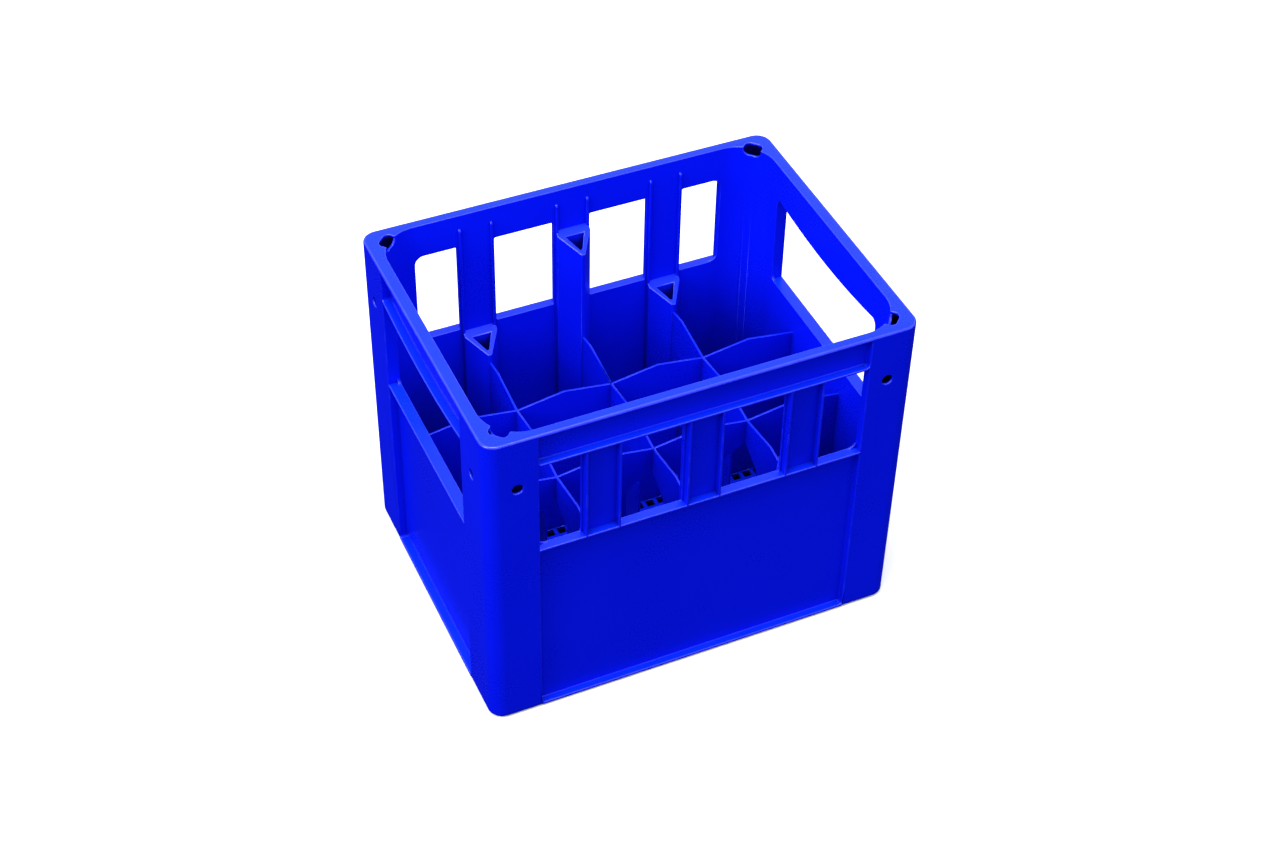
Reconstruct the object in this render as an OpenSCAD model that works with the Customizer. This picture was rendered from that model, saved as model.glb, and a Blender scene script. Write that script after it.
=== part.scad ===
// Milk bottle crate with twelve cells, drawn as the members of its moulding.
// X runs along the long side, Y across the crate and Z up from the feet.
// The origin is under the middle of the crate, on the plane of the feet.

/* [Outside] */
// Length over the end walls
crate_l = 400; // [388:2:420]
// Width over the long walls
crate_w = 302; // [292:2:322]
// Height from the feet to the rim
crate_h = 335; // [329:1:345]
// Radius of the upright outer corners
corner_r = 14; // [9:1:18]
// Radius of the lower outer edge of each corner post
foot_r = 4.5; // [2:0.5:7]
// How far the corner feet stand below the wall panels
foot_drop = 2; // [1:0.5:3]
// Length over which a foot tapers up to the wall panel
foot_taper = 30; // [20:2:32]

/* [Walls] */
// Depth of the recesses in the two long walls
side_recess = 7.1; // [5:0.1:8]
// Depth of the recesses in the two end walls
end_recess = 8.8; // [6:0.1:10]
// Thickness of the long walls
side_wall = 2.2; // [1.8:0.1:3]
// Thickness of the end walls
end_wall = 2.7; // [2:0.1:3.5]
// Thickness of the rim lip and of every flange
flange_t = 2.5; // [2:0.1:3]

/* [Corner posts] */
// Width of a post on the long walls
post_l = 47.5; // [44:0.5:47.5]
// Width of a post on the end walls
post_w = 56; // [48:0.5:58]
// Radius of the curved inner wall of a post
inner_r = 36; // [32:0.5:36]
// Wall thickness of a post
post_wall = 2.7; // [2:0.1:3]
// Diameter of the round holes in the post faces
hole_d = 10; // [6:0.5:12]
// Height of the round holes above the feet
hole_z = 282; // [220:1:310]
// Distance of a long wall hole from the end of the crate
hole_in_l = 28.5; // [24:0.5:32]
// Distance of an end wall hole from the side of the crate
hole_in_w = 32; // [26:0.5:38]
// Width of the core opening in the rim over each post
socket_w = 17; // [12:0.5:18]
// Distance of the core opening's outer side from the centre of the inner wall
socket_reach = 44.3; // [42.5:0.1:45.5]
// Depth of the notch that the core opening makes in the inner wall
notch_depth = 8.3; // [5:0.1:10]
// Radius of the core opening's outer corners
socket_r = 5; // [2:0.5:6]
// Radius of the pocket corners beside the posts
pocket_r = 3; // [1.5:0.5:4]
// Radius of the fillets where a flange or a post meets a wall
fillet_r = 1; // [0.5:0.1:1.4]

/* [Windows and handles] */
// Height of the window sills above the feet
sill_z = 202.5; // [196:0.5:206]
// Height of the top of the windows above the feet
window_top = 299.5; // [296:0.5:304]
// How far the lower edge of a handle bows down in the middle
handle_sag = 7; // [4:0.5:10]
// Radius of the window corners beside the posts
window_r = 9; // [4:0.5:12]
// Radius of the top corners of the handle openings
handle_r = 8; // [4:0.5:10]
// Radius of the bottom corners of the handle openings
handle_sill_r = 5; // [3:0.5:8]

/* [Pillars] */
// Width of a pillar and of the pair of fins above it
pillar_w = 32.6; // [28:0.2:34]
// How far a pillar stands into the crate
pillar_d = 28.7; // [24:0.1:30]
// Depth of the straight flanks of a pillar before they taper
pillar_flank = 6.2; // [4:0.1:8]
// Width of the flat nose on which a cross divider ends
pillar_nose = 3.6; // [3:0.1:5]
// Height of the outer pillars at the wall
pillar_top = 199.5; // [194:0.5:202]
// Height of the middle pillars at the wall
pillar_top_mid = 289.5; // [260:0.5:296]
// Fall of a pillar's top face per millimetre towards the cell
pillar_fall = 0.42; // [0.2:0.02:0.5]
// Width of the core opening in a pillar
core_w = 18.2; // [14:0.2:20]
// Distance of the core opening from the wall
core_in = 7.9; // [6:0.1:9]
// Depth of the core opening
core_d = 15.1; // [10:0.1:16]
// Width of the wall strip between two windows
mullion_w = 36.4; // [35:0.2:40]
// Radius of the window corners beside a wall strip
mullion_r = 1.5; // [0.5:0.5:4]
// Thickness of a fin
fin_t = 2.2; // [1.6:0.1:3]
// How far a fin stands into the crate
fin_h = 2.7; // [2:0.1:4]
// Height of the top of the fins above the feet
fin_top = 320; // [306:1:325]

/* [Dividers] */
// Thickness of a divider
divider_t = 2; // [1.6:0.1:2.6]
// Height of a divider's top edge in the middle of a cell
peak_z = 181; // [176:0.5:190]
// Height of a divider's top edge at a crossing
dip_z = 173.5; // [168:0.5:175]
// Width of the arch under a crossing
arch_w = 52; // [40:1:60]
// Height of the middle of an arch
arch_top = 147.5; // [142:0.5:152]
// Height of the centre of an arch's rounded shoulders
shoulder_z = 127; // [100:1:130]
// Radius of an arch's rounded shoulders
shoulder_r = 8; // [4:0.5:10]

/* [Floor] */
// Thickness of the floor grid
floor_t = 4; // [3:0.5:6]
// Number of floor openings along one side of a cell
openings = 8; // [4:1:8]
// Share of the floor pitch that is open
open_share = 0.68; // [0.5:0.02:0.76]

/* [Hidden] */
$fn = 96;

shell_blue = "#1226e6";
grid_blue = "#0a16b8";

cells_l = 4;
cells_w = 3;
half_l = crate_l / 2;
half_w = crate_w / 2;
in_l = half_l - end_recess - end_wall;
in_w = half_w - side_recess - side_wall;
pitch_l = 2 * in_l / cells_l;
pitch_w = 2 * in_w / cells_w;
post_x = half_l - post_l;
post_y = half_w - post_w;
arc_x = in_l - inner_r;
arc_y = in_w - inner_r;
floor_top = foot_drop + floor_t;
window_h = window_top - sill_z;
fin_x = pillar_w / 2 - fin_t / 2;
lap_z = (arch_top + dip_z) / 2;
// The notch is straight through the rim lip and rounded below it
notch_r = min(notch_depth - flange_t, socket_w / 2 - 0.5);
// Radius of the bowed lower edge of a handle, from its chord and its sag
bow_r = (post_y * post_y + handle_sag * handle_sag) / (2 * handle_sag);
// Cutting shapes run past the faces that they cut by this much
over = 1;

// ---------- helpers ----------

// Filled inside corner, with its right angle at the origin
module corner_web(r) {
    difference() {
        square(r);
        translate([r, r]) circle(r);
    }
}

// Stands a flat shape up along the long wall: X stays, Y becomes height
module stand_long(thickness) {
    translate([0, thickness, 0]) rotate([90, 0, 0]) linear_extrude(thickness) children();
}

// Stands a flat shape up along the end wall: X becomes Y, Y becomes height
module stand_end(thickness) {
    rotate([90, 0, 90]) linear_extrude(thickness) children();
}

// Turns a member drawn at the rear right into any of the four corners
module corner(side_x, side_y) {
    mirror([side_x < 0 ? 1 : 0, 0, 0]) mirror([0, side_y < 0 ? 1 : 0, 0]) children();
}

// Draws its children and their mirror image in the plane X = 0
module both_ends() {
    for (side = [0, 1]) mirror([side, 0, 0]) children();
}

// Fillet in the angle between a wall and the flange above it, w long
module roof_fillet(w, z_high) {
    translate([0, 0, z_high]) mirror([0, 0, 1]) stand_end(w) corner_web(fillet_r);
}

// Rounds both ends of a wall pocket w wide and d deep, where it meets the posts
module pocket_ends(w, d, z_low, z_high) {
    translate([w / 2, 0, 0]) both_ends() translate([-w / 2, 0, 0]) {
        translate([0, 0, z_low]) linear_extrude(z_high - z_low) corner_web(fillet_r);
        translate([0, 0, z_low]) stand_long(d) corner_web(pocket_r);
        translate([0, 0, z_high]) mirror([0, 0, 1]) stand_long(d) corner_web(pocket_r);
    }
}

// Rounds a whole pocket between two flanges and two posts, from z_low to z_high,
// with its left rear edge at the origin and the outside at +Y
module pocket_fillets(w, d, z_low, z_high) {
    translate([0, 0, z_low]) stand_end(w) corner_web(fillet_r);
    roof_fillet(w, z_high);
    pocket_ends(w, d, z_low, z_high);
}

// ---------- corner posts ----------

// One quarter of the bottle space seen from above, grown by a wall
module bottle_space(grow) {
    square([arc_x, in_w + grow]);
    square([in_l + grow, arc_y]);
    translate([arc_x, arc_y]) circle(inner_r + grow);
}

// Post area with the crate's rounded outer corner, drawn inside its outer faces
module post_area(inset) {
    side_x = half_l - corner_r - post_x - inset;
    side_y = half_w - corner_r - post_y - inset;
    translate([post_x + inset, post_y + inset]) {
        square([side_x, side_y + corner_r - inset]);
        square([side_x + corner_r - inset, side_y]);
        translate([side_x, side_y]) circle(corner_r - inset);
    }
}

// Profile of a post's outer face with the rounded foot edge, for a width w
module foot_profile(w) {
    translate([0, foot_r]) square([w, crate_h - foot_r]);
    square([w - foot_r, crate_h]);
    translate([w - foot_r, foot_r]) circle(foot_r);
}

module post_envelope() {
    corner_x = half_l - corner_r;
    corner_y = half_w - corner_r;
    translate([corner_x, corner_y, 0]) rotate_extrude() foot_profile(corner_r);
    rotate([90, 0, 90]) linear_extrude(corner_x) foot_profile(half_w);
    translate([0, corner_y, 0]) rotate([90, 0, 0]) linear_extrude(corner_y) foot_profile(half_l);
}

// Wedge under a foot, as a flat shape: distance along the wall, then height
module foot_wedge() {
    polygon([[-over, -over], [foot_taper, -over], [foot_taper, 0], [0, foot_drop], [-over, foot_drop]]);
}

// Core opening seen from above, pointing outwards along X from the inner wall's centre
module socket_outline() {
    start = inner_r - 2 * over;
    straight = socket_reach - socket_r - start;
    translate([start, -socket_w / 2]) square([straight, socket_w]);
    translate([start, socket_r - socket_w / 2]) square([straight + socket_r, socket_w - 2 * socket_r]);
    for (side = [-1, 1])
        translate([start + straight, side * (socket_w / 2 - socket_r)]) circle(socket_r);
}

// Notch in the inner wall, with the height of the rim at Y = 0
module notch_outline() {
    straight = notch_depth - notch_r;
    flat = socket_w - 2 * notch_r;
    translate([-socket_w / 2, -straight]) square([socket_w, straight + over]);
    translate([-flat / 2, -notch_depth]) square([flat, notch_depth]);
    for (side = [-1, 1]) translate([side * flat / 2, -straight]) circle(notch_r);
}

module corner_post() {
    difference() {
        intersection() {
            linear_extrude(crate_h) difference() {
                post_area(0);
                bottle_space(0);
            }
            post_envelope();
        }
        // hollow inside, closed by a foot plate and by the rim lip
        translate([0, 0, foot_drop + flange_t])
            linear_extrude(crate_h - foot_drop - 2 * flange_t) difference() {
                post_area(post_wall);
                bottle_space(side_wall);
            }
        // core opening in the rim, with a rounded notch in the curved inner wall
        translate([arc_x, arc_y, crate_h]) rotate([0, 0, 45]) {
            translate([0, 0, -flange_t - over]) linear_extrude(flange_t + 2 * over) socket_outline();
            translate([inner_r - 2 * over, 0, 0]) stand_end(side_wall + 4 * over) notch_outline();
        }
        // round holes through the two outer faces
        translate([half_l - hole_in_l, half_w + over, hole_z])
            rotate([90, 0, 0]) cylinder(d = hole_d, h = post_wall + 2 * over);
        translate([half_l - post_wall - over, half_w - hole_in_w, hole_z])
            rotate([0, 90, 0]) cylinder(d = hole_d, h = post_wall + 2 * over);
        // tapered underside of the foot
        translate([post_x, post_y - over, 0]) stand_long(post_w + 2 * over) foot_wedge();
        translate([post_x - over, post_y, 0]) stand_end(post_l + 2 * over) foot_wedge();
    }
}

module corner_post_front_left() { color(shell_blue) corner(-1, -1) corner_post(); }
module corner_post_front_right() { color(shell_blue) corner(1, -1) corner_post(); }
module corner_post_rear_left() { color(shell_blue) corner(-1, 1) corner_post(); }
module corner_post_rear_right() { color(shell_blue) corner(1, 1) corner_post(); }

// ---------- long walls ----------

// Flange between the posts on a long wall, from the wall to the outer plane
module long_flange(z) {
    translate([-post_x, in_w + side_wall, z]) cube([2 * post_x, side_recess, flange_t]);
}

module long_rim() {
    translate([-post_x, in_w, window_top]) cube([2 * post_x, side_wall, crate_h - window_top]);
    long_flange(window_top);
    long_flange(crate_h - flange_t);
    translate([-post_x, in_w + side_wall, 0])
        pocket_fillets(2 * post_x, side_recess, window_top + flange_t, crate_h - flange_t);
    both_ends() translate([-post_x, in_w, window_top])
        mirror([0, 0, 1]) stand_long(side_wall) corner_web(window_r);
}

module long_panel() {
    translate([-post_x, in_w, foot_drop]) cube([2 * post_x, side_wall, sill_z - foot_drop]);
    long_flange(foot_drop);
    long_flange(sill_z - flange_t);
    translate([-post_x, in_w + side_wall, 0])
        pocket_fillets(2 * post_x, side_recess, foot_drop + flange_t, sill_z - flange_t);
    both_ends() translate([-post_x, in_w, sill_z]) stand_long(side_wall) corner_web(window_r);
}

module front_rim() { color(shell_blue) corner(1, -1) long_rim(); }
module rear_rim() { color(shell_blue) long_rim(); }
module front_panel() { color(shell_blue) corner(1, -1) long_panel(); }
module rear_panel() { color(shell_blue) long_panel(); }

// ---------- end walls ----------

// Disc whose lowest point is the middle of the handle's bowed lower edge
module bow_disc(r) {
    translate([0, window_top - handle_sag + bow_r]) circle(r, $fn = 1440);
}

// Face of a handle: everything above the bowed edge, between the posts
module handle_face() {
    intersection() {
        translate([-post_y, window_top - handle_sag - over])
            square([2 * post_y, crate_h - window_top + handle_sag + over]);
        bow_disc(bow_r);
    }
}

module end_handle() {
    // the flange drops by this much over the corner radius beside a post
    drop = 2 * handle_sag * pocket_r / post_y;
    translate([in_l, 0, 0]) stand_end(end_wall) handle_face();
    translate([in_l + end_wall, 0, 0]) stand_end(end_recess) difference() {
        handle_face();
        bow_disc(bow_r - flange_t);
    }
    translate([in_l + end_wall, -post_y, crate_h - flange_t]) cube([end_recess, 2 * post_y, flange_t]);
    end_pocket() {
        roof_fillet(2 * post_y, crate_h - flange_t);
        pocket_ends(2 * post_y, end_recess, window_top + flange_t - drop, crate_h - flange_t);
    }
    bow_fillet();
    for (side = [0, 1]) mirror([0, side, 0])
        translate([in_l, -post_y, window_top]) mirror([0, 0, 1]) stand_end(end_wall) corner_web(handle_r);
}

// Fillet where the bowed flange of a handle meets its face
module bow_fillet() {
    intersection() {
        translate([in_l + end_wall, 0, window_top - handle_sag + bow_r]) rotate([0, 90, 0])
            rotate_extrude($fn = 1440) translate([bow_r - flange_t, 0]) mirror([1, 0]) corner_web(fillet_r);
        translate([in_l, -post_y, window_top - handle_sag])
            cube([2 * end_recess, 2 * post_y, crate_h - window_top]);
    }
}

// Turns children drawn for the pocket of a long wall to the pocket of the right end wall
module end_pocket() {
    translate([in_l + end_wall, post_y, 0]) rotate([0, 0, -90]) children();
}

module end_panel() {
    translate([in_l, -post_y, foot_drop]) cube([end_wall, 2 * post_y, sill_z - foot_drop]);
    for (z = [foot_drop, sill_z - flange_t])
        translate([in_l + end_wall, -post_y, z]) cube([end_recess, 2 * post_y, flange_t]);
    end_pocket() pocket_fillets(2 * post_y, end_recess, foot_drop + flange_t, sill_z - flange_t);
    for (side = [0, 1]) mirror([0, side, 0])
        translate([in_l, -post_y, sill_z]) stand_end(end_wall) corner_web(handle_sill_r);
}

module left_handle() { color(shell_blue) corner(-1, 1) end_handle(); }
module right_handle() { color(shell_blue) end_handle(); }
module left_panel() { color(shell_blue) corner(-1, 1) end_panel(); }
module right_panel() { color(shell_blue) end_panel(); }

// ---------- wall pillars ----------

// Outline of a pillar on the wall at Y = 0, pointing into the crate
module pillar_outline() {
    polygon([
        [-pillar_w / 2, 0], [pillar_w / 2, 0], [pillar_w / 2, -pillar_flank],
        [pillar_nose / 2, -pillar_d], [-pillar_nose / 2, -pillar_d], [-pillar_w / 2, -pillar_flank]
    ]);
}

module pillar_core() {
    nose = 2;
    polygon([
        [-core_w / 2, -core_in], [core_w / 2, -core_in],
        [nose / 2, -core_in - core_d], [-nose / 2, -core_in - core_d]
    ]);
}

// Hollow column up to a top face that falls towards the cell
module column(top_z) {
    reach = pillar_d + over;
    difference() {
        linear_extrude(top_z) pillar_outline();
        translate([0, 0, floor_top + flange_t]) linear_extrude(top_z) pillar_core();
        translate([-pillar_w, 0, top_z]) stand_end(2 * pillar_w)
            polygon([[0, 0], [0, over], [-reach, over], [-reach, -reach * pillar_fall]]);
        translate([-pillar_w, -reach, -over]) cube([2 * pillar_w, 2 * reach, floor_top + over]);
    }
}

// Fin on the inner side of the wall, rounded at its top
module inner_fin(bottom_z) {
    top = fin_top - fin_h;
    translate([-fin_t / 2, 0, 0]) stand_end(fin_t) {
        translate([-fin_h, bottom_z]) square([fin_h, top - bottom_z]);
        intersection() {
            translate([0, top]) circle(fin_h);
            translate([-fin_h, top]) square(fin_h);
        }
    }
}

module wall_pillar(top_z) {
    translate([0, in_w, 0]) column(top_z);
    translate([-mullion_w / 2, in_w, sill_z]) cube([mullion_w, side_wall, window_h]);
    both_ends() {
        translate([mullion_w / 2, in_w, sill_z]) stand_long(side_wall) corner_web(mullion_r);
        translate([mullion_w / 2, in_w, window_top])
            mirror([0, 0, 1]) stand_long(side_wall) corner_web(mullion_r);
    }
    for (side = [-1, 1]) {
        translate([side * fin_x, in_w, 0]) inner_fin(top_z - 2 * fin_h);
        translate([side * fin_x - fin_t / 2, in_w + side_wall, sill_z]) cube([fin_t, side_recess, window_h]);
    }
}

// Pillar on the rear or the front wall, at a whole number of cells from the middle
module pillar_at(cell, side_y, top_z) {
    color(shell_blue) corner(1, side_y) translate([cell * pitch_l, 0, 0]) wall_pillar(top_z);
}

module front_pillar_left() { pillar_at(-1, -1, pillar_top); }
module front_pillar_middle() { pillar_at(0, -1, pillar_top_mid); }
module front_pillar_right() { pillar_at(1, -1, pillar_top); }
module rear_pillar_left() { pillar_at(-1, 1, pillar_top); }
module rear_pillar_middle() { pillar_at(0, 1, pillar_top_mid); }
module rear_pillar_right() { pillar_at(1, 1, pillar_top); }

// ---------- dividers ----------

// Arch under a crossing: straight sides, rounded shoulders and a peaked roof
module arch() {
    centre_x = arch_w / 2 - shoulder_r;
    rise = arch_top - shoulder_z;
    // the roof leaves the shoulder where it is tangent to it
    tangent = 90 - atan2(rise, centre_x) + asin(shoulder_r / norm([centre_x, rise]));
    touch = [centre_x + shoulder_r * cos(tangent), shoulder_z + shoulder_r * sin(tangent)];
    translate([-arch_w / 2, floor_top - over]) square([arch_w, shoulder_z - floor_top + over]);
    for (side = [-1, 1]) translate([side * centre_x, shoulder_z]) circle(shoulder_r);
    polygon([
        [-centre_x, shoulder_z], [centre_x, shoulder_z], touch,
        [0, arch_top], [-touch[0], touch[1]]
    ]);
}

// Divider face over a number of cells, with the arches cut out
module divider_face(cells, pitch) {
    start = -cells * pitch / 2;
    crest = [for (i = [0 : 2 * cells]) [start + i * pitch / 2, i % 2 == 0 ? dip_z : peak_z]];
    difference() {
        polygon(concat(crest, [[-start, floor_top], [start, floor_top]]));
        for (i = [1 : cells - 1]) translate([start + i * pitch, 0]) arch();
    }
}

// A long divider is notched from above where the cross dividers lap over it
module long_divider(row) {
    translate([0, row * pitch_w - divider_t / 2, 0]) difference() {
        stand_long(divider_t) divider_face(cells_l, pitch_l);
        for (i = [1 : cells_l - 1])
            translate([(i - cells_l / 2) * pitch_l - divider_t / 2, -over, lap_z])
                cube([divider_t, divider_t + 2 * over, peak_z]);
    }
}

// A cross divider runs from pillar to pillar and is notched from below
module cross_divider(column) {
    end_y = in_w - pillar_d;
    translate([column * pitch_l - divider_t / 2, 0, 0]) difference() {
        stand_end(divider_t) intersection() {
            divider_face(cells_w, pitch_w);
            translate([-end_y, 0]) square([2 * end_y, crate_h]);
        }
        for (i = [1 : cells_w - 1])
            translate([-over, (i - cells_w / 2) * pitch_w - divider_t / 2, 0])
                cube([divider_t + 2 * over, divider_t, lap_z]);
    }
}

module long_divider_front() { color(grid_blue) long_divider(-0.5); }
module long_divider_rear() { color(grid_blue) long_divider(0.5); }
module cross_divider_left() { color(grid_blue) cross_divider(-1); }
module cross_divider_middle() { color(grid_blue) cross_divider(0); }
module cross_divider_right() { color(grid_blue) cross_divider(1); }

// ---------- floor ----------

// Floor outline between the walls, with the rounded corners of the posts
module floor_outline() {
    square([2 * arc_x, 2 * in_w], center = true);
    square([2 * in_l, 2 * arc_y], center = true);
    for (side_x = [-1, 1], side_y = [-1, 1])
        translate([side_x * arc_x, side_y * arc_y]) circle(inner_r);
}

// True where an opening's outer corner stays inside a post's curved wall
function clear_of_corner(x, y) =
    norm([max(abs(x) - arc_x, 0), max(abs(y) - arc_y, 0)]) < inner_r - flange_t;

module floor_grid() {
    step_l = pitch_l / openings;
    step_w = pitch_w / openings;
    open_l = step_l * open_share;
    open_w = step_w * open_share;
    color(grid_blue) translate([0, 0, foot_drop]) linear_extrude(floor_t) difference() {
        floor_outline();
        for (i = [0 : cells_l * openings - 1], j = [0 : cells_w * openings - 1]) {
            x = -in_l + (i + 0.5) * step_l;
            y = -in_w + (j + 0.5) * step_w;
            if (clear_of_corner(abs(x) + open_l / 2, abs(y) + open_w / 2))
                translate([x, y]) square([open_l, open_w], center = true);
        }
    }
}

corner_post_front_left();
corner_post_front_right();
corner_post_rear_left();
corner_post_rear_right();
front_rim();
rear_rim();
left_handle();
right_handle();
front_panel();
rear_panel();
left_panel();
right_panel();
front_pillar_left();
front_pillar_middle();
front_pillar_right();
rear_pillar_left();
rear_pillar_middle();
rear_pillar_right();
long_divider_front();
long_divider_rear();
cross_divider_left();
cross_divider_middle();
cross_divider_right();
floor_grid();
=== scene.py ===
import math

import bmesh
import bpy
from mathutils import Matrix, Vector


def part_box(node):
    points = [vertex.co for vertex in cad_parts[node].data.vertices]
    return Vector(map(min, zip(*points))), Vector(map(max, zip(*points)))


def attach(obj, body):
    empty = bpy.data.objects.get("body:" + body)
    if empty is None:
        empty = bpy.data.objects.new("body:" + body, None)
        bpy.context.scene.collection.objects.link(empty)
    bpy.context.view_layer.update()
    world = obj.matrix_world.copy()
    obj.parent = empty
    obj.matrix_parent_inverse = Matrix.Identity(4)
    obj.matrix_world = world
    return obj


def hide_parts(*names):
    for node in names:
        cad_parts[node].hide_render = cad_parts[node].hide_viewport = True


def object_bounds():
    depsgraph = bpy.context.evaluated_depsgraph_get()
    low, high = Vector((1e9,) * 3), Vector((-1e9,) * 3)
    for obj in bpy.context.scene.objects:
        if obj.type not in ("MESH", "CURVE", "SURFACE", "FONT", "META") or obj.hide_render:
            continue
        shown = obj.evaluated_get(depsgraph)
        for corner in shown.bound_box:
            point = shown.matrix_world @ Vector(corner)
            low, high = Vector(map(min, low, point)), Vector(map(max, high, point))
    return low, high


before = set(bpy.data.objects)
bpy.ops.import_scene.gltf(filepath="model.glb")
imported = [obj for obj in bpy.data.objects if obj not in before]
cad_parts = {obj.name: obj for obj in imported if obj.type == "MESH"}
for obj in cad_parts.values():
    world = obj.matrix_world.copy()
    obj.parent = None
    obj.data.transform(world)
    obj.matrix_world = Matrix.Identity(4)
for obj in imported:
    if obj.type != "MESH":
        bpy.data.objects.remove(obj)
cad_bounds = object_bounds()

MM = 0.001

crate_high = cad_bounds[1]
floor_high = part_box("floor_grid")[1]
divider_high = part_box("cross_divider_middle")[1]
handle_low, handle_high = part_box("right_handle")

# ---------- shape: one moulding with rounded edges, cut back into its members ----------

WELD = 0.01 * MM
TINY = 0.005 * MM
FLAT = math.radians(0.4)
SHARP = math.radians(28)
# Above this angle an edge stays sharp in the shading
CREASE = math.radians(40)
# An edge that rises by more than this share of its length counts as upright
UPRIGHT = 0.9
# A body with less material than this is a sheet left between two touching faces
SHEET = 0.1 * MM**3

# Radius of the crate's upright outer corners and of the cells' corners at the posts
CORNER = 14 * MM
CELL_CORNER = 36 * MM
# Thickness of the flanges, and height of the edges that count as the foot
FLANGE = 2.5 * MM
FOOT_TOP = 4.4 * MM
# Thickness of an end wall, and reach of the fillet between it and a handle's flange
END_WALL = 2.7 * MM
BOW_FILLET = 1.2 * MM
# The floor is grown into the walls by this much before the members are joined
GROW = 0.3 * MM

# Width of the rounding on each kind of edge
RIM_EDGE = 2.0 * MM
INNER_RIM_EDGE = 0.8 * MM
LIP_EDGE = 0.45 * MM
OUTLINE_EDGE = 1.0 * MM
FOOT_EDGE = 0.4 * MM
PILLAR_EDGE = 0.7 * MM
SHELL_EDGE = 0.6 * MM
DIVIDER_EDGE = 0.45 * MM
GRID_EDGE = 0.3 * MM
EDGE_SEGMENTS = 3


def tidy(mesh):
    """Joins flat faces and removes slivers."""
    bmesh.ops.dissolve_degenerate(mesh, dist=TINY, edges=mesh.edges)
    bmesh.ops.dissolve_limit(mesh, angle_limit=FLAT, verts=mesh.verts, edges=mesh.edges)


def new_object(mesh, name):
    data = bpy.data.meshes.new(name)
    mesh.to_mesh(data)
    mesh.free()
    made = bpy.data.objects.new(name, data)
    bpy.context.scene.collection.objects.link(made)
    return made


def solid_copy(node):
    """A closed copy of a member, with its split corners welded."""
    mesh = bmesh.new()
    mesh.from_mesh(node.data)
    bmesh.ops.remove_doubles(mesh, verts=mesh.verts, dist=WELD)
    tidy(mesh)
    return new_object(mesh, node.name + "_solid")


def grow_floor(floor):
    """Pushes the rim of the floor out, so that it runs into the walls around it."""
    corner_x, corner_y = floor_high.x - CELL_CORNER, floor_high.y - CELL_CORNER
    for vertex in floor.data.vertices:
        point = vertex.co
        out = Vector((abs(point.x) - corner_x, abs(point.y) - corner_y, 0))
        beyond = Vector((max(out.x, 0), max(out.y, 0), 0))
        if beyond.length > CELL_CORNER - MM:
            step = beyond.normalized() * GROW
            point.x += math.copysign(step.x, point.x)
            point.y += math.copysign(step.y, point.y)


def add_boolean(target, other, operation):
    step = target.modifiers.new(operation, "BOOLEAN")
    step.operation = operation
    step.solver = "MANIFOLD"
    step.object = other


def apply_all(target):
    """Turns an object's modifiers into its mesh."""
    bpy.context.view_layer.update()
    shape = target.evaluated_get(bpy.context.evaluated_depsgraph_get())
    data = bpy.data.meshes.new_from_object(shape)
    target.modifiers.clear()
    target.data = data


def bodies_of(mesh):
    """The faces of each connected body."""
    seen = set()
    bodies = []
    for start in mesh.faces:
        if start in seen:
            continue
        seen.add(start)
        body = [start]
        for face in body:
            for edge in face.edges:
                for other in edge.link_faces:
                    if other not in seen:
                        seen.add(other)
                        body.append(other)
        bodies.append(body)
    return bodies


def volume_of(faces):
    total = 0.0
    for face in faces:
        first = face.verts[0].co
        for one, other in zip(face.verts[1:-1], face.verts[2:]):
            total += first.dot(one.co.cross(other.co)) / 6
    return total


def drop_sheets(mesh):
    for body in bodies_of(mesh):
        if abs(volume_of(body)) < SHEET:
            corners = list({v for face in body for v in face.verts})
            bmesh.ops.delete(mesh, geom=corners, context="VERTS")


def on_outside(point):
    """True on the crate's outer faces, with their rounded corners."""
    if abs(point.x) > crate_high.x - WELD or abs(point.y) > crate_high.y - WELD:
        return True
    corner = (abs(point.x) - crate_high.x + CORNER, abs(point.y) - crate_high.y + CORNER)
    return min(corner) > 0 and math.hypot(*corner) > CORNER - 5 * WELD


def on_bow_fillet(point):
    """True on the narrow fillet along the bowed flange of a handle."""
    if abs(point.y) > handle_high.y - WELD or point.z < handle_low.z:
        return False
    return END_WALL + WELD < abs(point.x) - handle_low.x < END_WALL + BOW_FILLET


def edge_width(edge):
    """Rounding of an outward edge, from where it is on the crate."""
    top = crate_high.z
    ends = [v.co for v in edge.verts]
    middle = (ends[0] + ends[1]) / 2
    if on_bow_fillet(middle):
        return 0.0
    low = min(p.z for p in ends)
    if low > top - WELD:
        return RIM_EDGE if all(on_outside(p) for p in ends) else INNER_RIM_EDGE
    if all(on_outside(p) for p in ends):
        if middle.z < FOOT_TOP:
            return outline_at_foot(edge, ends)
        return LIP_EDGE if low > top - FLANGE - WELD else OUTLINE_EDGE
    if middle.z < floor_high.z + WELD:
        return GRID_EDGE
    if abs(middle.x) > floor_high.x - MM:
        return SHELL_EDGE
    if abs(middle.y) > divider_high.y - WELD:
        return PILLAR_EDGE
    return DIVIDER_EDGE if middle.z < divider_high.z + WELD else SHELL_EDGE


def outline_at_foot(edge, ends):
    """The lowest outer edges are slim, and the flanges' ends are left square."""
    upright = abs(ends[0].z - ends[1].z) > UPRIGHT * edge.calc_length()
    return 0.0 if upright else FOOT_EDGE


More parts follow.
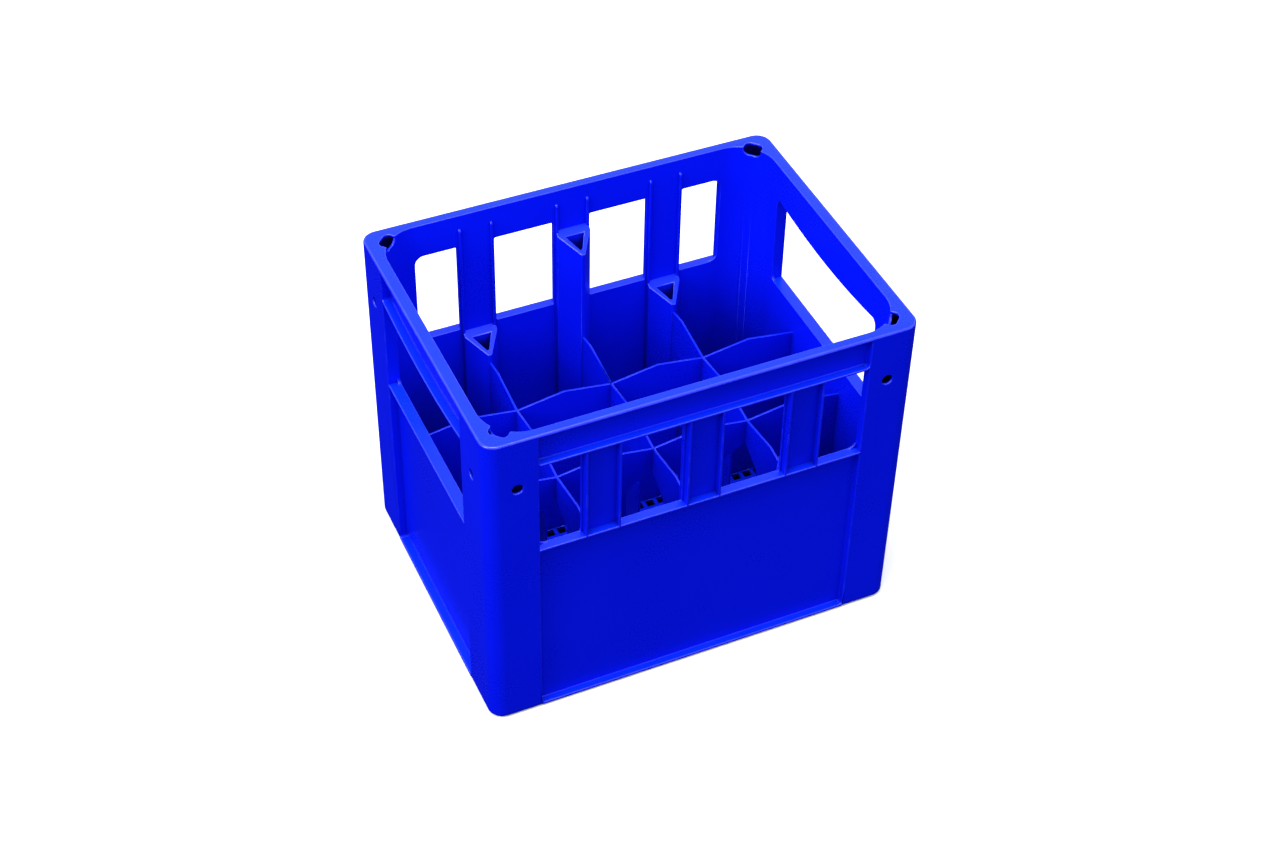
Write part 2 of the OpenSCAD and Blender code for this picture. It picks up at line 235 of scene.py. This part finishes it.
def round_edges(whole):
    """Rounds every outward edge of the joined moulding."""
    mesh = bmesh.new()
    mesh.from_mesh(whole.data)
    drop_sheets(mesh)
    tidy(mesh)
    bmesh.ops.triangulate(mesh, faces=mesh.faces)
    layer = mesh.edges.layers.float.new("bevel_weight_edge")
    for edge in mesh.edges:
        if edge.calc_face_angle_signed(0) > SHARP:
            edge[layer] = edge_width(edge) / RIM_EDGE
    mesh.to_mesh(whole.data)
    mesh.free()
    bevel = whole.modifiers.new("rounded_edges", "BEVEL")
    bevel.limit_method = "WEIGHT"
    bevel.width = RIM_EDGE
    bevel.segments = EDGE_SEGMENTS
    bevel.use_clamp_overlap = False
    bevel.loop_slide = False
    bevel.material = 1
    apply_all(whole)


def cut_member(whole, solid, name):
    """The part of the rounded moulding that lies in one member."""
    piece = bpy.data.objects.new("moulded_" + name, whole.data.copy())
    bpy.context.scene.collection.objects.link(piece)
    add_boolean(piece, solid, "INTERSECT")
    apply_all(piece)
    mesh = bmesh.new()
    mesh.from_mesh(piece.data)
    drop_sheets(mesh)
    for face in mesh.faces:
        face.smooth = True
    for edge in mesh.edges:
        edge.smooth = edge.calc_face_angle(0) < CREASE
    mesh.to_mesh(piece.data)
    mesh.free()
    normals = piece.modifiers.new("even_shading", "WEIGHTED_NORMAL")
    normals.keep_sharp = True
    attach(piece, "root")
    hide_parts(name)
    return piece


def build_members(materials):
    names = sorted(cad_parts)
    solids = {name: solid_copy(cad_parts[name]) for name in names}
    whole = solid_copy(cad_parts["floor_grid"])
    grow_floor(whole)
    for material in materials:
        whole.data.materials.append(material)
    for name in names:
        if name != "floor_grid":
            add_boolean(whole, solids[name], "UNION")
    apply_all(whole)
    round_edges(whole)
    pieces = {name: cut_member(whole, solids[name], name) for name in names}
    for helper in [whole] + list(solids.values()):
        bpy.data.objects.remove(helper)
    return pieces


# ---------- materials ----------


class Nodes:
    """Short calls for building a material's node tree."""

    def __init__(self, name):
        self.material = bpy.data.materials.new(name)
        self.material.use_nodes = True
        self.tree = self.material.node_tree
        self.tree.nodes.clear()

    def add(self, kind, inputs=None, **settings):
        node = self.tree.nodes.new(kind)
        for key, value in settings.items():
            setattr(node, key, value)
        for key, value in (inputs or {}).items():
            self.put(node, key, value)
        return node

    def put(self, node, key, value):
        if isinstance(value, bpy.types.NodeSocket):
            self.tree.links.new(value, node.inputs[key])
        else:
            node.inputs[key].default_value = value

    def noise(self, place, scale, detail=3.0, roughness=0.5):
        inputs = {"Vector": place, "Scale": scale, "Detail": detail, "Roughness": roughness}
        return self.add("ShaderNodeTexNoise", inputs).outputs["Fac"]

    def spread(self, value, low, high, to_low=0.0, to_high=1.0):
        inputs = {
            "Value": value, "From Min": low, "From Max": high, "To Min": to_low, "To Max": to_high,
        }
        return self.add("ShaderNodeMapRange", inputs).outputs["Result"]

    def noise_between(self, low, high, place, scale, detail=3.0, roughness=0.5):
        """Noise whose usual values reach from low to high."""
        return self.spread(self.noise(place, scale, detail, roughness), *NOISE_RANGE, low, high)

    def openness(self, reach):
        """From 0 in a deep corner to 1 where nothing is nearer than reach."""
        return self.add("ShaderNodeAmbientOcclusion", {"Distance": reach}, samples=6).outputs["AO"]

    def math(self, operation, first, second):
        return self.add("ShaderNodeMath", {0: first, 1: second}, operation=operation).outputs[0]

    def mix(self, share, first, second):
        node = self.add("ShaderNodeMix", data_type="RGBA")
        self.put(node, 0, share)
        self.put(node, 6, first)
        self.put(node, 7, second)
        return node.outputs[2]

    def bump(self, height, strength, distance, normal=None):
        inputs = {"Height": height, "Strength": strength, "Distance": distance}
        if normal is not None:
            inputs["Normal"] = normal
        return self.add("ShaderNodeBump", inputs).outputs["Normal"]


BLUE = (0.0004, 0.0052, 0.74, 1)
BLUE_LIGHT = (0.0007, 0.0078, 0.84, 1)
# Painted sheen for the faces that look up
PAINTED_TOP_SHEEN = (0.001, 0.028, 0.92, 1)
SCUFF = (0.05, 0.12, 0.95, 1)
# Painted shade for the cells and the small corners
PAINTED_SHADE = (0.0001, 0.0008, 0.10, 1)

# Most of a noise's values lie in this range
NOISE_RANGE = (0.3, 0.7)
# Scales of the noises, per metre
BROAD_SCALE = 7.0
PATCH_SCALE = 12.0
WAVE_SCALE = 14.0
CLOUD_SCALE = 24.0
RUB_SCALE = 70.0
MOTTLE_SCALE = 260.0
DULL_SCALE = 700.0
GRAIN_SCALE = 1300.0
STREAK_SCALE = (420, 420, 16)
SCUFF_STRENGTH = 0.03
# How far around a point the painted shade of the cells and of the small corners looks
CELL_SHADE_REACH = 120 * MM
CORNER_SHADE_REACH = 12 * MM
WAVE_HEIGHT = 0.5 * MM
GRAIN_HEIGHT = 0.02 * MM
PLASTIC_IOR = 1.5


def plain_colour(n, place):
    """Slow changes of tone with a fine mottle."""
    broad = n.noise_between(0.2, 0.7, place, BROAD_SCALE)
    mottle = n.noise_between(-0.06, 0.06, place, MOTTLE_SCALE, 2.0, 0.6)
    return n.mix(n.math("ADD", broad, mottle), BLUE, BLUE_LIGHT)


def paint_top_sheen(n, place, colour, amount):
    """Painted sheen: pales the faces that look up, in soft clouds, as the light from above would."""
    normal = n.add("ShaderNodeNewGeometry").outputs["Normal"]
    up = n.add("ShaderNodeSeparateXYZ", {0: normal}).outputs["Z"]
    facing_up = n.spread(up, 0.5, 0.95)
    cloud = n.noise_between(0.75, 1.0, place, CLOUD_SCALE, 4.0, 0.55)
    top_sheen = n.math("MULTIPLY", n.math("MULTIPLY", facing_up, cloud), amount)
    return n.mix(top_sheen, colour, PAINTED_TOP_SHEEN)


def wear_of(n, place, amount):
    """Faint upright scuffs in patches, and rubbed spots by the given amount."""
    streak_place = n.add("ShaderNodeMapping", {"Vector": place, "Scale": STREAK_SCALE}).outputs[0]
    streaks = n.spread(n.noise(streak_place, 1.0, 2.0), 0.68, 0.74)
    patches = n.spread(n.noise(place, PATCH_SCALE), 0.52, 0.66)
    scuffs = n.math("MULTIPLY", n.math("MULTIPLY", streaks, patches), SCUFF_STRENGTH)
    rubs = n.spread(n.noise(place, RUB_SCALE, 5.0, 0.65), 0.5, 0.7)
    return n.math("ADD", scuffs, n.math("MULTIPLY", rubs, amount))


def paint_recess_shade(n, colour):
    """Painted shade: deepens the colour low in the cells and in small corners, where shade falls."""
    cell_shade = n.spread(n.openness(CELL_SHADE_REACH), 0.08, 0.33)
    colour = n.mix(cell_shade, n.mix(0.94, colour, PAINTED_SHADE), colour)
    # Painted shade in the small corners
    corner = n.spread(n.openness(CORNER_SHADE_REACH), 0.25, 0.75)
    return n.mix(corner, n.mix(0.5, colour, PAINTED_SHADE), colour)


def roughness_of(n, place, wear):
    """Smears and a fine dullness, rougher where it is worn."""
    smear = n.noise_between(0.27, 0.33, place, WAVE_SCALE, 4.0)
    roughness = n.math("ADD", smear, n.noise_between(-0.02, 0.02, place, DULL_SCALE, 2.0))
    return n.math("ADD", roughness, n.math("MULTIPLY", wear, 0.2))


def relief_of(n, place):
    """Faint waves in the surface, with a fine moulded grain on them."""
    waves = n.bump(n.noise(place, WAVE_SCALE, 2.0, 0.4), 0.25, WAVE_HEIGHT)
    return n.bump(n.noise(place, GRAIN_SCALE, 3.0, 0.6), 0.15, GRAIN_HEIGHT, waves)


def moulded_plastic(name, top_sheen_amount, wear_amount, shine):
    """Blue polyethylene with a painted sheen on upward faces, scuffs, painted shade in the recesses
    and a moulded grain.
    """
    n = Nodes(name)
    place = n.add("ShaderNodeTexCoord").outputs["Object"]
    wear = wear_of(n, place, wear_amount)
    # Painted sheen on the faces that look up
    colour = paint_top_sheen(n, place, plain_colour(n, place), top_sheen_amount)
    # Painted shade in the cells and small corners
    colour = paint_recess_shade(n, n.mix(wear, colour, SCUFF))
    inputs = {
        "Base Color": colour, "Roughness": roughness_of(n, place, wear), "Normal": relief_of(n, place),
        "IOR": PLASTIC_IOR, "Specular IOR Level": shine,
    }
    shader = n.add("ShaderNodeBsdfPrincipled", inputs)
    n.add("ShaderNodeOutputMaterial", {"Surface": shader.outputs[0]})
    return n.material


def dress(pieces, shell, grid):
    """Each list holds the plastic of the faces, then that of the rounded edges."""
    for name, piece in pieces.items():
        inside = "divider" in name or name == "floor_grid"
        for slot, material in enumerate(grid if inside else shell):
            piece.data.materials[slot] = material


# ---------- studio ----------

FLOOR_REACH = 8.0
FLOOR_TINTS = ((0.93, 0.93, 0.935, 1), (0.95, 0.95, 0.95, 1))
# Painted shade on the floor under the crate
PAINTED_FLOOR_SHADE = (0.001, 0.001, 0.008, 1)

WORLD_BELOW = (0.012, 0.015, 0.05, 1)
WORLD_ABOVE = (0.96, 0.98, 1.0, 1)
# The world is fully bright from this height above the horizon
HORIZON = 0.12
WORLD_STRENGTH = 1.3

# Where the softboxes point
AIM = (0, 0, 0.15)

# Direction from the crate to the camera and the camera's roll, in degrees
AZIMUTH = -25.297
ELEVATION = 43.138
ROLL = 1.569
DISTANCE = 2.1819
# Sideways and upward shift of the camera in its own axes, and its lift
SHIFT_RIGHT = 0.010736
SHIFT_UP = 0.114885
LIFT = 2 * MM
SENSOR_WIDTH = 36
LENS = 63.46


def add_floor():
    mesh = bmesh.new()
    bmesh.ops.create_grid(mesh, x_segments=1, y_segments=1, size=FLOOR_REACH)
    floor = new_object(mesh, "studio_floor")
    floor.data.materials.append(pale_floor())
    # The crate takes no light or mirror image from the floor
    floor.visible_glossy = False
    floor.visible_diffuse = False


def pale_floor():
    """Pale paper with a slight tint, with painted shade where the crate covers it."""
    n = Nodes("pale_floor")
    place = n.add("ShaderNodeTexCoord").outputs["Object"]
    tint = n.mix(n.noise(place, 3.0), *FLOOR_TINTS)
    axes = n.add("ShaderNodeSeparateXYZ", {0: place}).outputs
    # Share of painted shade, 1 under the crate and 0 beyond it
    covered_shade = 1.0
    for axis, reach in enumerate((floor_high.x, floor_high.y)):
        away = n.math("ABSOLUTE", axes[axis], 0.0)
        covered_shade = n.math("MULTIPLY", n.spread(away, reach - 4 * MM, reach, 1.0, 0.0), covered_shade)
    tint = n.mix(covered_shade, tint, PAINTED_FLOOR_SHADE)
    shader = n.add("ShaderNodeBsdfDiffuse", {"Color": tint})
    n.add("ShaderNodeOutputMaterial", {"Surface": shader.outputs[0]})
    return n.material


def add_world():
    """Even white light from above and almost none from below."""
    world = bpy.data.worlds.new("studio")
    world.use_nodes = True
    tree = world.node_tree
    place = tree.nodes.new("ShaderNodeTexCoord").outputs["Generated"]
    axes = tree.nodes.new("ShaderNodeSeparateXYZ")
    tree.links.new(place, axes.inputs[0])
    ramp = tree.nodes.new("ShaderNodeValToRGB")
    tree.links.new(axes.outputs["Z"], ramp.inputs["Fac"])
    below, above = ramp.color_ramp.elements
    below.position = 0.0
    below.color = WORLD_BELOW
    above.position = HORIZON
    above.color = WORLD_ABOVE
    background = tree.nodes["Background"]
    tree.links.new(ramp.outputs["Color"], background.inputs["Color"])
    background.inputs["Strength"].default_value = WORLD_STRENGTH
    bpy.context.scene.world = world


def add_softbox(name, place, size, power):
    light = bpy.data.lights.new(name, "AREA")
    light.shape = "SQUARE"
    light.size = size
    light.energy = power
    box = bpy.data.objects.new(name, light)
    box.location = place
    box.rotation_euler = (Vector(AIM) - Vector(place)).to_track_quat("-Z", "Y").to_euler()
    bpy.context.scene.collection.objects.link(box)


def add_lights():
    add_world()
    add_softbox("top_softbox", (-0.3, -0.2, 2.6), 1.2, 46)
    add_softbox("left_softbox", (-2.2, -0.5, 1.7), 1.2, 44)


def add_camera():
    """Looks down on the crate from the front left, slightly rolled."""
    azimuth, elevation, roll = (math.radians(angle) for angle in (AZIMUTH, ELEVATION, ROLL))
    back = Vector((
        math.sin(azimuth) * math.cos(elevation),
        -math.cos(azimuth) * math.cos(elevation),
        math.sin(elevation),
    ))
    level = Vector((0, 0, 1)).cross(back).normalized()
    rise = back.cross(level)
    right = level * math.cos(roll) + rise * math.sin(roll)
    up = rise * math.cos(roll) - level * math.sin(roll)
    data = bpy.data.cameras.new("camera")
    data.sensor_width = SENSOR_WIDTH
    data.lens = LENS
    camera = bpy.data.objects.new("camera", data)
    turn = Matrix((right, up, back)).transposed().to_4x4()
    place = back * DISTANCE + right * SHIFT_RIGHT + up * SHIFT_UP + Vector((0, 0, LIFT))
    camera.matrix_world = Matrix.Translation(place) @ turn
    bpy.context.scene.collection.objects.link(camera)
    bpy.context.scene.camera = camera


shell_plastic = [
    moulded_plastic("shell_plastic", 0.8, 0.0, 0.18),
    moulded_plastic("shell_plastic_edges", 0.8, 0.12, 0.6),
]
grid_plastic = [
    moulded_plastic("grid_plastic", 0.5, 0.0, 0.2),
    moulded_plastic("grid_plastic_edges", 0.6, 0.08, 0.5),
]
members = build_members(shell_plastic)
dress(members, shell_plastic, grid_plastic)
add_floor()
add_lights()
add_camera()
scene = bpy.context.scene
scene.view_settings.view_transform = "Standard"
scene.view_settings.look = "None"
